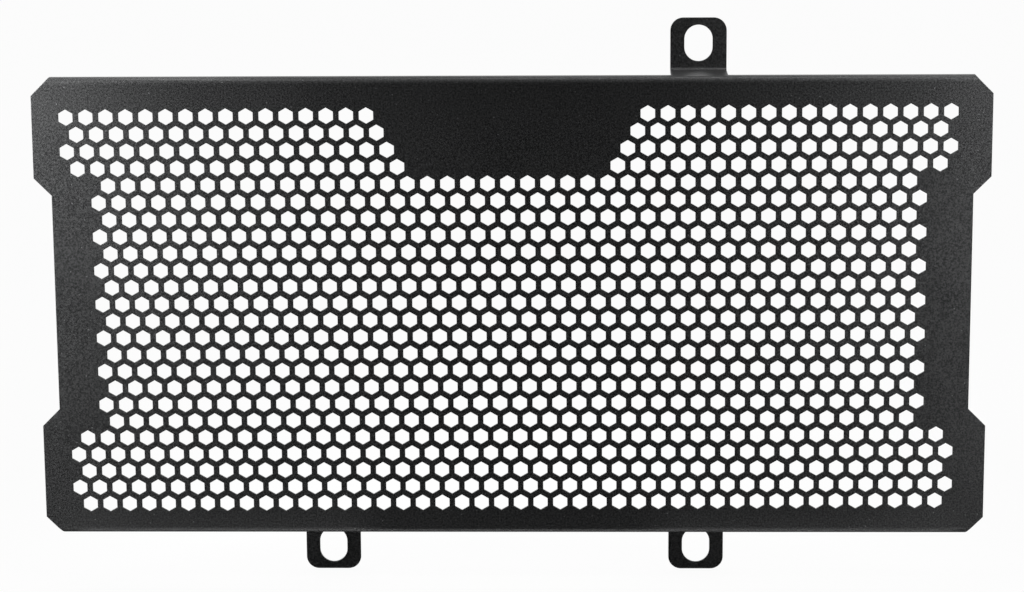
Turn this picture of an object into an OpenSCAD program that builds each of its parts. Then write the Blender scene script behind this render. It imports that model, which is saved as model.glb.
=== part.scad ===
// Radiator guard: one folded sheet with a hexagon grille and three slotted mounting tabs.
// Millimetres. X runs to the right, Y from the front to the back, Z upwards.

/* [Sheet] */
// Width over the side wings
plate_w = 382; // [320:1:440]
// Height over the two folded edges
plate_h = 187.5; // [165:0.5:215]
// Thickness of the metal
sheet = 1.2; // [0.8:0.1:2]
// How far the middle of the face stands out past its upper and lower edges
bow = 0.3; // [0.1:0.05:0.8]
// How far the side wings stand out past the waist
wing_step = 7; // [3:0.5:12]
// Height of the upper wings, from the top edge to the notch
upper_wing = 40.25; // [30:0.25:50]
// Height of the lower wings, from the bottom edge to the notch
lower_wing = 45.25; // [35:0.25:55]
// Cut off each outer corner, both ways
corner_cut = 7; // [3:0.5:12]

/* [Folded edges] */
// Inside radius of every bend
bend_r = 1.4; // [0.6:0.1:2.5]
// Flat depth of the lips behind their bend
lip_flat = 2.4; // [1:0.2:5]

/* [Grille] */
// Hexagon hole, across its flats
hole_w = 5.9; // [4.5:0.1:6.8]
// Distance from hole to hole
pitch = 8; // [7.2:0.1:10]
// Plain border beside the holes in the wings
wing_border = 11.5; // [8:0.5:18]
// Plain border beside the holes in the waist
waist_border = 16.5; // [12:0.5:24]
// Plain border above and below the holes
end_border = 10; // [7.5:0.5:16]
// Rows that the plain panel at the top takes up
panel_rows = 4; // [2:1:7]
// Half width of the plain panel on the top row, in pitches
panel_half = 7; // [4:1:12]
// Place of the hole field across the sheet
field_x = -1.05; // [-3:0.05:3]
// Place of the hole field up the sheet
field_z = -0.9; // [-2:0.05:2]
// Turn of the hole field in the sheet, in degrees
field_turn = 0.26; // [-0.6:0.01:0.6]

/* [Mounting tabs] */
// Depth from the sheet's front to the back of the tabs
stand_off = 22; // [14:0.5:35]
// Width of each arm and tab
tab_w = 22.2; // [18:0.2:30]
// Height of each tab past the folded edge
tab_h = 21; // [19:0.5:32]
// Radius of each tab's outer corners
tab_r = 5.2; // [2:0.2:8]
// Distance from the middle to each tab
tab_x = 75.2; // [50:0.2:140]
// Width of the slots
slot_w = 12; // [7:0.5:13]
// Length of the slots, end to end
slot_l = 15; // [13:0.5:16]
// Height of the slot centre past the folded edge
slot_z = 10.9; // [10:0.1:12]

/* [Hidden] */
$fn = 64;

front = -stand_off / 2;
back = stand_off / 2;
edge = plate_h / 2;
waist = plate_w / 2 - wing_step;
bend_out = bend_r + sheet;
bend_front = front + bow;
bend_back = bend_front + bend_out;
lip_back = bend_back + lip_flat;
arm_back = back - bend_out;

bands = 8;
row_step = pitch * sqrt(3) / 2;
hole_r = hole_w / sqrt(3);
rows = floor((plate_h - 2 * end_border - 2 * hole_r) / row_step) + 1;
notch_top = edge - upper_wing;
notch_low = lower_wing - edge;

// Height of a row's hole centres in the hole field
function row_z(r) = ((rows - 1) / 2 - r) * row_step;

// True where a row's holes lie in the wings
function in_wings(r) =
  row_z(r) + field_z - hole_r > notch_top || row_z(r) + field_z + hole_r < notch_low;

// Half width that a row's hole centres may reach, in pitches
function reach(r) =
  ((in_wings(r) ? plate_w / 2 - wing_border : waist - waist_border) - hole_w / 2) / pitch;

// Shift of every second row, in pitches
function row_shift(r) = (r % 2) / 2;

// Outermost hole of a row, in pitches from the middle
function last(r) = floor(reach(r) - row_shift(r)) + row_shift(r);

// True where the plain panel leaves room for a hole
function is_open(r, k) = r >= panel_rows || abs(k) >= panel_half - r / 2;

// The sheet seen from the front, with its wings, notches and cut corners
module outline() {
  wing = plate_w / 2;
  polygon([
    [wing - corner_cut, edge],
    [wing, edge - corner_cut],
    [wing, notch_top],
    [waist, notch_top - wing_step],
    [waist, notch_low + wing_step],
    [wing, notch_low],
    [wing, corner_cut - edge],
    [wing - corner_cut, -edge],
    [corner_cut - wing, -edge],
    [-wing, corner_cut - edge],
    [-wing, notch_low],
    [-waist, notch_low + wing_step],
    [-waist, notch_top - wing_step],
    [-wing, notch_top],
    [-wing, edge - corner_cut],
    [corner_cut - wing, edge]
  ]);
}

// A flat shape stood up to face the front, from depth y0 for a thickness t
module upright(y0, t) {
  translate([0, y0 + t, 0])
    rotate([90, 0, 0])
      linear_extrude(height = t)
        children();
}

// The hexagon holes, corners up and down, in staggered rows
module hole_field() {
  translate([field_x, field_z])
    rotate(field_turn)
      for (r = [0 : rows - 1])
        for (k = [-last(r) : 1 : last(r)])
          if (is_open(r, k))
            translate([k * pitch, row_z(r)])
              rotate(30)
                circle(r = hole_r, $fn = 6);
}

// Edges of the flat bands that make up the bowed face, foremost at depth y in the middle
function bowed(y, half) =
  [for (i = [-bands / 2 : bands / 2]) [y + bow * pow(2 * i / bands, 2), half * 2 * i / bands]];

// A shape that reaches back from its bowed front at depth y0, with both front corners rounded
module round_fronted(y0, y1, half, r) {
  translate([y0 + bow + r, -half])
    square([y1 - y0 - bow - r, 2 * half]);
  polygon(concat(bowed(y0, half - r), [[y1, half - r], [y1, r - half]]));
  for (z = [r - half, half - r])
    translate([y0 + bow + r, z])
      circle(r = r);
}

// Side section of the sheet: its face, both bends and both lips
module sheet_section() {
  difference() {
    round_fronted(front, lip_back, edge, bend_out);
    round_fronted(front + sheet, lip_back + sheet, edge - sheet, bend_r);
  }
}

// Side section of the upper arm, the bend behind it and the tab that stands on it
module arm_section() {
  translate([bend_back, edge - sheet])
    square([arm_back - bend_back, sheet]);
  translate([back - sheet, edge + bend_r])
    square([sheet, tab_h - bend_r]);
  difference() {
    translate([arm_back, edge + bend_r])
      circle(r = bend_out);
    translate([arm_back, edge + bend_r])
      circle(r = bend_r);
    translate([arm_back - bend_out, edge + bend_r])
      square(2 * bend_out);
    translate([arm_back - bend_out, edge - sheet])
      square(bend_out);
  }
}

// A side section drawn in depth and height, run out to both sides of the middle
module run_across(width) {
  translate([-width / 2, 0, 0])
    rotate([90, 0, 90])
      linear_extrude(height = width)
        children();
}

// The sheet with its folded edges, cut to the outline seen from the front
module folded_sheet() {
  intersection() {
    run_across(plate_w)
      sheet_section();
    upright(front - sheet, stand_off + 2 * sheet)
      outline();
  }
}

// Slot with round ends, its long way up
module slot() {
  rise = (slot_l - slot_w) / 2;
  square([slot_w, 2 * rise], center = true);
  for (z = [-rise, rise])
    translate([0, z])
      circle(d = slot_w);
}

// Front view of an arm and its tab, with the tab's outer corners rounded
module tab_front() {
  translate([-tab_w / 2, -sheet])
    square([tab_w, tab_h + sheet - tab_r]);
  translate([tab_r - tab_w / 2, -sheet])
    square([tab_w - 2 * tab_r, tab_h + sheet]);
  for (x = [tab_r - tab_w / 2, tab_w / 2 - tab_r])
    translate([x, tab_h - tab_r])
      circle(r = tab_r);
}

// Arm that runs back from the top lip and turns up into a slotted tab
module arm_and_tab() {
  difference() {
    intersection() {
      run_across(tab_w)
        arm_section();
      translate([0, 0, edge])
        upright(front, stand_off)
          tab_front();
    }
    translate([0, 0, edge + slot_z])
      upright(back - 2 * sheet, 3 * sheet)
        slot();
  }
}

module guard() {
  color([0.055, 0.056, 0.058])
    difference() {
      union() {
        folded_sheet();
        translate([tab_x, 0, 0])
          arm_and_tab();
        for (x = [-tab_x, tab_x])
          translate([x, 0, 0])
            mirror([0, 0, 1])
              arm_and_tab();
      }
      upright(front - sheet, bow + 3 * sheet)
        hole_field();
    }
}

guard();
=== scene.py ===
import math

import bpy
from mathutils import Matrix, Vector


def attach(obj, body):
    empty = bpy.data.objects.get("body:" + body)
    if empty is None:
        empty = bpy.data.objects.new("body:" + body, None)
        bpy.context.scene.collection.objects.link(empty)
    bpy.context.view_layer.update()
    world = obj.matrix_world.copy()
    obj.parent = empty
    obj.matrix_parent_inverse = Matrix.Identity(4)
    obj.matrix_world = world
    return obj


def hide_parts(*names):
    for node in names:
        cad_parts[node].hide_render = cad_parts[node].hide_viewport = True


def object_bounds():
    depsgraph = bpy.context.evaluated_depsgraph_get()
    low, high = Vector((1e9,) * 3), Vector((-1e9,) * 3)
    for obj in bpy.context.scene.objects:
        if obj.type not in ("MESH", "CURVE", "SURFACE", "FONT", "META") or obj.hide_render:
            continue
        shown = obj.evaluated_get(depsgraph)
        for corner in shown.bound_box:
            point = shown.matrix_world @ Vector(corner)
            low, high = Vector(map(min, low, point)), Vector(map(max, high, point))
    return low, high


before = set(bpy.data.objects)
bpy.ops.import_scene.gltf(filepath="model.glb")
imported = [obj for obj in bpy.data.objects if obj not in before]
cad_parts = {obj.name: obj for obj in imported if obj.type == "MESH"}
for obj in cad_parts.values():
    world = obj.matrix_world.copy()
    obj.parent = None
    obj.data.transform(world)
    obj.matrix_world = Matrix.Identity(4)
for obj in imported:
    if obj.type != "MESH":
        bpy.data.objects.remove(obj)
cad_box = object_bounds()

MM = 0.001

# Camera, fitted to the hole centres and the outline in the photograph
CAMERA_ELEVATION = 11.6914
CAMERA_AZIMUTH = 1.5099
CAMERA_ROLL = -0.3792
CAMERA_SHIFT_X = -0.078 * MM
CAMERA_SHIFT_Z = 2.964 * MM
CAMERA_DISTANCE = 1241.84 * MM
CAMERA_LENS = 107.647
CAMERA_SENSOR = 36
CAMERA_CLIP = (0.01, 100)

# Coat rounded over the cut edges of the sheet, with all angles in degrees
EDGE_ROUND = 0.15 * MM
EDGE_STEPS = 2
SHARP_EDGE = 70
FLAT_ANGLE = 0.6
SMOOTH_ANGLE = 30

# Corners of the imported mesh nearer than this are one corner
SAME_CORNER = 0.002 * MM

# Coat gathered on the walls of the grille's holes, and how far out those holes lie
COAT_BUILD = 0.085 * MM
GRILLE_HALF_WIDTH = 183 * MM
GRILLE_HALF_HEIGHT = 90 * MM
GRILLE_BACK = -9 * MM
WALL_LEAN = 0.1

# Rows of the grille, as in the part's source
GRILLE_ROWS = 24
ROW_STEP = 8 * MM * math.sqrt(3) / 2
GRILLE_MIDDLE_X = -1.05 * MM
GRILLE_MIDDLE_Z = -0.9 * MM
GRILLE_TURN = 0.26

# Tabs: middle and way up of each, and their sizes in the part's source
TABS = ((75.2 * MM, 1), (75.2 * MM, -1), (-75.2 * MM, -1))
ARM_LOW = 92.5 * MM
ARM_FRONT = -5.8 * MM
TAB_REACH = 11.5 * MM
TAB_CORNER = 5.8 * MM
SLOT_MIDDLE = 104.65 * MM
SLOT_RISE = 1.5 * MM
SLOT_RADIUS = 6.0 * MM
SLOT_SLACK = 0.05 * MM

# The same sizes measured once more in the photograph, where they differ
TAB_GROWTH = 0.2 * MM
SEEN_MIDDLE = 104.55 * MM
SEEN_RISE = 1.7 * MM
SEEN_RADIUS = 5.65 * MM

# Tones and gloss of the powder coat
COAT_DARK = (0.0095, 0.0097, 0.0100, 1.0)
COAT_LIGHT = (0.0355, 0.0360, 0.0366, 1.0)
SPECK_TONE = (0.090, 0.091, 0.093, 1.0)
COAT_SPECULAR = 0.25
CLOUD_ROUGHNESS = (0.36, 0.44)
FINE_ROUGHNESS = (-0.05, 0.08)

# Grain of the coat: features to the metre, detail and roughness of the noise
FINE_GRAIN = (1400.0, 3.0, 0.65)
CLOUD_GRAIN = (45.0, 3.0, 0.5)
PEEL_GRAIN = (420.0, 2.0, 0.5)

# Parts of the noise's range that are spread over the tones and over the gloss
TONE_RANGE = (0.38, 0.64)
GLOSS_RANGE = (0.3, 0.7)

# Relief of the coat: strength and depth
FINE_RELIEF = (0.9, 0.055 * MM)
PEEL_RELIEF = (0.5, 0.06 * MM)

# Light specks: cells to the metre, which cells have one, and where its rim fades
SPECK_CELLS = 620.0
SPECK_CHANCE = (0.90, 0.98)
SPECK_RIM = (0.10, 0.22)

# Soft boxes: place and aim in metres, width, height, beam in degrees, watts
LAMPS = {
    "left_side": ((-0.33, -0.10, -0.085), (-0.20, 0, -0.08), 0.08, 0.22, 60, 0.180),
    "left_top": ((-0.33, -0.10, 0.14), (-0.20, 0, 0.08), 0.08, 0.10, 60, 0.295),
    "right_side": ((0.33, -0.10, -0.08), (0.20, 0, -0.075), 0.08, 0.22, 60, 0.170),
    "right_top": ((0.33, -0.10, 0.14), (0.20, 0, 0.08), 0.08, 0.10, 60, 0.178),
    "above_left": ((-0.14, -0.012, 0.26), (-0.13, -0.0075, 0.09), 0.16, 0.03, 60, 0.031),
    "above_right": ((0.07, -0.010, 0.26), (0.07, -0.0065, 0.09), 0.26, 0.03, 60, 0.036),
    "low_left": ((-0.125, -0.035, -0.112), (-0.125, -0.011, -0.091), 0.13, 0.01, 60, 0.0021),
    "low_edge": ((0, -0.016, -0.113), (0, -0.0105, -0.0925), 0.36, 0.006, 40, 0.004),
    "low_right": ((0.125, -0.035, -0.112), (0.125, -0.011, -0.091), 0.13, 0.01, 60, 0.0018),
}

# Light of the room, and how far to the back it comes from: none at the first, all at the second
ROOM_LIGHT = 1.0
ROOM_BACK = (0.0, 0.5)

# Floor: its size, its paint, and how much of its shadow shows
FLOOR_SIZE = 14
FLOOR_PAINT = 0.9
FLOOR_ROUGHNESS = 0.9
FLOOR_SHADE = 0.045

# Black card: height over the floor, near and far edge in front of the sheet, half width, height
CARD_LIFT = 0.5 * MM
CARD_NEAR = 0.012
CARD_FAR = -0.80
CARD_HALF = 0.95
CARD_HEIGHT = 0.45

BLACK = (0.0, 0.0, 0.0, 1.0)
WHITE = (1.0, 1.0, 1.0, 1.0)


def nothing_selected():
    """Leave every object unselected, as after opening an empty scene."""
    for item in list(bpy.context.selected_objects):
        item.select_set(False)


def take_up(item):
    """Make this object the only selected and the active one."""
    nothing_selected()
    item.select_set(True)
    bpy.context.view_layer.objects.active = item


def flat_plane(name, size, place, scale=(1, 1, 1)):
    """A level plane whose object sits at the origin, unturned and unscaled."""
    nothing_selected()
    bpy.ops.mesh.primitive_plane_add(size=size, location=place)
    plane = bpy.context.active_object
    plane.name = name
    plane.scale = scale
    bpy.ops.object.transform_apply(location=True, rotation=True, scale=True)
    return plane


def new_paint(name):
    """A new material, its node tree and its surface shader."""
    paint = bpy.data.materials.new(name)
    paint.use_nodes = True
    return paint, paint.node_tree, paint.node_tree.nodes["Principled BSDF"]


def add_node(tree, kind, **inputs):
    """A shader node with its inputs set by name."""
    node = tree.nodes.new(kind)
    for name, value in inputs.items():
        node.inputs[name.replace("_", " ")].default_value = value
    return node


def grain(tree, coords, scale, detail, roughness):
    """Noise with this many features to the metre."""
    noise = add_node(tree, "ShaderNodeTexNoise", Scale=scale, Detail=detail, Roughness=roughness)
    tree.links.new(coords.outputs["Object"], noise.inputs["Vector"])
    return noise.outputs["Fac"]


def spread(tree, source, low, high, to_low, to_high):
    """Map a range of one value onto another range."""
    node = add_node(
        tree, "ShaderNodeMapRange",
        From_Min=low, From_Max=high, To_Min=to_low, To_Max=to_high,
    )
    node.clamp = True
    tree.links.new(source, node.inputs["Value"])
    return node.outputs["Result"]


def combine(tree, operation, first, second):
    """Two values added, multiplied or compared, as the operation says."""
    node = tree.nodes.new("ShaderNodeMath")
    node.operation = operation
    tree.links.new(first, node.inputs[0])
    tree.links.new(second, node.inputs[1])
    return node.outputs["Value"]


def mix_tones(tree, share, tone_a, tone_b):
    """Blend two tones, each a colour or an output of another node."""
    node = tree.nodes.new("ShaderNodeMix")
    node.data_type = "RGBA"
    tree.links.new(share, node.inputs["Factor"])
    for name, tone in (("A", tone_a), ("B", tone_b)):
        socket = [s for s in node.inputs if s.name == name and s.type == "RGBA"][0]
        if isinstance(tone, tuple):
            socket.default_value = tone
        else:
            tree.links.new(tone, socket)
    return [s for s in node.outputs if s.type == "RGBA"][0]


def light_specks(tree, coords):
    """Share of the speck tone: a soft dot in the few cells that have one."""
    cells = add_node(tree, "ShaderNodeTexVoronoi", Scale=SPECK_CELLS, Randomness=1.0)
    tree.links.new(coords.outputs["Object"], cells.inputs["Vector"])
    chance = tree.nodes.new("ShaderNodeSeparateColor")
    tree.links.new(cells.outputs["Color"], chance.inputs["Color"])
    rare = spread(tree, chance.outputs["Red"], *SPECK_CHANCE, 0.0, 1.0)
    dot = spread(tree, cells.outputs["Distance"], *SPECK_RIM, 1.0, 0.0)
    return combine(tree, "MULTIPLY", rare, dot)


def relief(tree, height, strength, depth):
    """A bump of this strength and depth."""
    bump = add_node(tree, "ShaderNodeBump", Strength=strength, Distance=depth)
    tree.links.new(height, bump.inputs["Height"])
    return bump


def powder_coat():
    """Matt black powder coat: fine grain, a soft orange peel and a few light specks."""
    coat, tree, shader = new_paint("powder_coat")
    coords = tree.nodes.new("ShaderNodeTexCoord")
    fine = grain(tree, coords, *FINE_GRAIN)
    cloud = grain(tree, coords, *CLOUD_GRAIN)
    peel = grain(tree, coords, *PEEL_GRAIN)

    base = mix_tones(tree, spread(tree, fine, *TONE_RANGE, 0.0, 1.0), COAT_DARK, COAT_LIGHT)
    tone = mix_tones(tree, light_specks(tree, coords), base, SPECK_TONE)
    tree.links.new(tone, shader.inputs["Base Color"])

    matt = combine(
        tree, "ADD",
        spread(tree, cloud, *GLOSS_RANGE, *CLOUD_ROUGHNESS),
        spread(tree, fine, *GLOSS_RANGE, *FINE_ROUGHNESS),
    )
    tree.links.new(matt, shader.inputs["Roughness"])
    shader.inputs["Specular IOR Level"].default_value = COAT_SPECULAR

    fine_bump = relief(tree, fine, *FINE_RELIEF)
    peel_bump = relief(tree, peel, *PEEL_RELIEF)
    tree.links.new(fine_bump.outputs["Normal"], peel_bump.inputs["Normal"])
    tree.links.new(peel_bump.outputs["Normal"], shader.inputs["Normal"])
    return coat


def part_between_rows():
    """Cut the faces along every row of holes, and merge what is flat between the cuts."""
    turn = math.radians(GRILLE_TURN)
    across_rows = Vector((-math.sin(turn), 0, math.cos(turn)))
    middle = Vector((GRILLE_MIDDLE_X, 0, GRILLE_MIDDLE_Z))
    flat = math.radians(FLAT_ANGLE)
    bpy.ops.mesh.dissolve_limited(angle_limit=flat)
    for row in range(GRILLE_ROWS):
        height = ((GRILLE_ROWS - 1) / 2 - row) * ROW_STEP
        bpy.ops.mesh.select_all(action="SELECT")
        bpy.ops.mesh.bisect(plane_co=middle + across_rows * height, plane_no=across_rows)
        bpy.ops.mesh.mark_seam()
    bpy.ops.mesh.select_all(action="SELECT")
    bpy.ops.mesh.dissolve_limited(angle_limit=flat, delimit={"SEAM"})
    bpy.ops.mesh.mark_seam(clear=True)


def is_hole_wall(face):
    """True for a face that stands in one of the grille's holes."""
    middle = face.center
    if abs(middle.x) >= GRILLE_HALF_WIDTH or abs(middle.z) >= GRILLE_HALF_HEIGHT:
        return False
    return middle.y < GRILLE_BACK and abs(face.normal.y) < WALL_LEAN


def coat_the_holes(mesh):
    """Draw the walls of each hole in the grille together by the coat that gathers on them."""
    hole_of = {}
    for face in mesh.polygons:
        if is_hole_wall(face):
            hole = set(face.vertices)
            for corner in face.vertices:
                hole |= hole_of.get(corner, set())
            for corner in hole:
                hole_of[corner] = hole
    for hole in {id(corners): corners for corners in hole_of.values()}.values():
        across = [mesh.vertices[corner].co.x for corner in hole]
        upward = [mesh.vertices[corner].co.z for corner in hole]
        middle_x = (min(across) + max(across)) / 2
        middle_z = (min(upward) + max(upward)) / 2
        narrowing = 1 - 2 * COAT_BUILD / (max(across) - min(across))
        for corner in hole:
            place = mesh.vertices[corner].co
            place.x = middle_x + (place.x - middle_x) * narrowing
            place.z = middle_z + (place.z - middle_z) * narrowing


def fit_the_tabs(mesh):
    """Bring each tab's width and its slot to the sizes seen in the photograph."""
    share = SEEN_RADIUS / SLOT_RADIUS
    for middle, way in TABS:
        for corner in mesh.vertices:
            place = corner.co
            across = place.x - middle
            if abs(across) > TAB_REACH or way * place.z < ARM_LOW or place.y < ARM_FRONT:
                continue
            upward = way * place.z - SLOT_MIDDLE
            past_rise = abs(upward) - SLOT_RISE
            if math.hypot(across, max(past_rise, 0)) < SLOT_RADIUS + SLOT_SLACK:
                reach = SEEN_RISE + past_rise * share
                place.x = middle + across * share
                place.z = way * (SEEN_MIDDLE + math.copysign(reach, upward))
            elif abs(across) > TAB_CORNER:
                place.x += math.copysign(TAB_GROWTH, across)


def guard_sheet(coat):
    """The folded sheet, with its coat rounded over every cut edge."""
    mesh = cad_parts["guard"].data.copy()
    mesh.name = "guard_sheet"
    sheet = bpy.data.objects.new("guard_sheet", mesh)
    bpy.context.scene.collection.objects.link(sheet)
    take_up(sheet)

    bpy.ops.object.mode_set(mode="EDIT")
    bpy.ops.mesh.select_all(action="SELECT")
    bpy.ops.mesh.remove_doubles(threshold=SAME_CORNER)
    part_between_rows()
    bpy.ops.object.mode_set(mode="OBJECT")
    coat_the_holes(mesh)
    fit_the_tabs(mesh)
    bpy.ops.object.shade_smooth_by_angle(angle=math.radians(SMOOTH_ANGLE))

    rounding = sheet.modifiers.new("coat_edge", "BEVEL")
    rounding.width = EDGE_ROUND
    rounding.segments = EDGE_STEPS
    rounding.limit_method = "ANGLE"
    rounding.angle_limit = math.radians(SHARP_EDGE)
    rounding.use_clamp_overlap = False
    rounding.harden_normals = True
    bpy.ops.object.modifier_apply(modifier=rounding.name)

    sheet.data.materials.clear()
    sheet.data.materials.append(coat)
    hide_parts("guard")
    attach(sheet, "root")


def seen_directly(tree):
    """One for what the camera sees directly, in a gloss or through glass."""
    path = tree.nodes.new("ShaderNodeLightPath")
    either = path.outputs["Is Camera Ray"]
    for name in ("Is Glossy Ray", "Is Transmission Ray"):
        either = combine(tree, "MAXIMUM", either, path.outputs[name])
    return either


def pale_floor():
    """White floor that shows as the white background and keeps a faint shadow."""
    floor = flat_plane("floor", FLOOR_SIZE, (0, 0, cad_box[0].z))
    paint, tree, matt = new_paint("floor_white")
    matt.inputs["Base Color"].default_value = (FLOOR_PAINT, FLOOR_PAINT, FLOOR_PAINT, 1.0)
    matt.inputs["Roughness"].default_value = FLOOR_ROUGHNESS
    glow = add_node(tree, "ShaderNodeEmission", Color=WHITE, Strength=1.0)
    share = spread(tree, seen_directly(tree), 0.0, 1.0, 0.0, 1.0 - FLOOR_SHADE)
    blend = tree.nodes.new("ShaderNodeMixShader")
    tree.links.new(share, blend.inputs["Fac"])
    tree.links.new(matt.outputs["BSDF"], blend.inputs[1])
    tree.links.new(glow.outputs["Emission"], blend.inputs[2])
    tree.links.new(blend.outputs["Shader"], tree.nodes["Material Output"].inputs["Surface"])
    floor.data.materials.append(paint)


def white_room():
    """White surroundings whose light comes from behind the sheet, not from the camera's side."""
    world = bpy.context.scene.world or bpy.data.worlds.new("room")
    bpy.context.scene.world = world
    world.use_nodes = True
    tree = world.node_tree
    backdrop = tree.nodes["Background"]
    backdrop.inputs["Color"].default_value = WHITE
    direction = tree.nodes.new("ShaderNodeTexCoord")
    parts = tree.nodes.new("ShaderNodeSeparateXYZ")
    tree.links.new(direction.outputs["Generated"], parts.inputs["Vector"])
    light = spread(tree, parts.outputs["Y"], *ROOM_BACK, 0.0, ROOM_LIGHT)
    strength = tree.nodes.new("ShaderNodeMix")
    tree.links.new(seen_directly(tree), strength.inputs["Factor"])
    tree.links.new(light, strength.inputs["A"])
    strength.inputs["B"].default_value = 1.0
    tree.links.new(strength.outputs["Result"], backdrop.inputs["Strength"])


def black_card():
    """Black card that lies and stands in front, so that the matt face mirrors no white there."""
    middle = (CARD_NEAR + CARD_FAR) / 2
    half_depth = (CARD_NEAR - CARD_FAR) / 2
    place = (0, middle, cad_box[0].z + CARD_LIFT)
    card = flat_plane("black_card", 2, place, scale=(CARD_HALF, half_depth, 1))

    # Its far edge is drawn up into the standing part
    for face in card.data.polygons:
        face.select = False
    for edge in card.data.edges:
        edge.select = all(card.data.vertices[i].co.y < middle for i in edge.vertices)
    for corner in card.data.vertices:
        corner.select = corner.co.y < middle
    bpy.ops.object.mode_set(mode="EDIT")
    bpy.ops.mesh.select_mode(type="EDGE")
    bpy.ops.mesh.extrude_region_move(TRANSFORM_OT_translate={"value": (0, 0, CARD_HEIGHT)})
    bpy.ops.object.mode_set(mode="OBJECT")

    paint, _, matt = new_paint("card_black")
    matt.inputs["Base Color"].default_value = BLACK
    matt.inputs["Specular IOR Level"].default_value = 0.0
    card.data.materials.append(paint)
    for kind in ("camera", "diffuse", "transmission", "shadow"):
        setattr(card, "visible_" + kind, False)


def soft_lamp(name, place, aim, width, height, beam, watts):
    """A soft box that looks from its place towards its aim, with its beam in degrees."""
    data = bpy.data.lights.new(name, "AREA")
    data.shape = "RECTANGLE"
    data.size = width
    data.size_y = height
    data.energy = watts
    data.spread = math.radians(beam)
    lamp = bpy.data.objects.new(name, data)
    bpy.context.scene.collection.objects.link(lamp)
    lamp.location = place
    lamp.rotation_euler = (Vector(aim) - Vector(place)).to_track_quat("-Z", "Y").to_euler()
    lamp.visible_camera = False


def photo_camera():
    """Camera at the photograph's viewing angle, distance and field of view."""
    elevation = math.radians(CAMERA_ELEVATION)
    azimuth = math.radians(CAMERA_AZIMUTH)
    roll = math.radians(CAMERA_ROLL)
    back = Vector((
        math.sin(azimuth) * math.cos(elevation),
        -math.cos(azimuth) * math.cos(elevation),
        math.sin(elevation),
    ))
    level = (-back).cross(Vector((0, 0, 1))).normalized()
    upright = level.cross(-back)
    right = math.cos(roll) * level + math.sin(roll) * upright
    above = -math.sin(roll) * level + math.cos(roll) * upright

    data = bpy.data.cameras.new("photo_camera")
    data.sensor_fit = "HORIZONTAL"
    data.sensor_width = CAMERA_SENSOR
    data.lens = CAMERA_LENS
    data.clip_start, data.clip_end = CAMERA_CLIP
    camera = bpy.data.objects.new("photo_camera", data)
    bpy.context.scene.collection.objects.link(camera)
    place = back * CAMERA_DISTANCE + right * CAMERA_SHIFT_X + above * CAMERA_SHIFT_Z
    turn = Matrix((right, above, back)).transposed().to_4x4()
    camera.matrix_world = Matrix.Translation(place) @ turn
    bpy.context.scene.camera = camera


nothing_selected()
photo_camera()
guard_sheet(powder_coat())
pale_floor()
white_room()
black_card()
for lamp_name, settings in LAMPS.items():
    soft_lamp(lamp_name, *settings)

bpy.context.scene.view_settings.view_transform = "Standard"
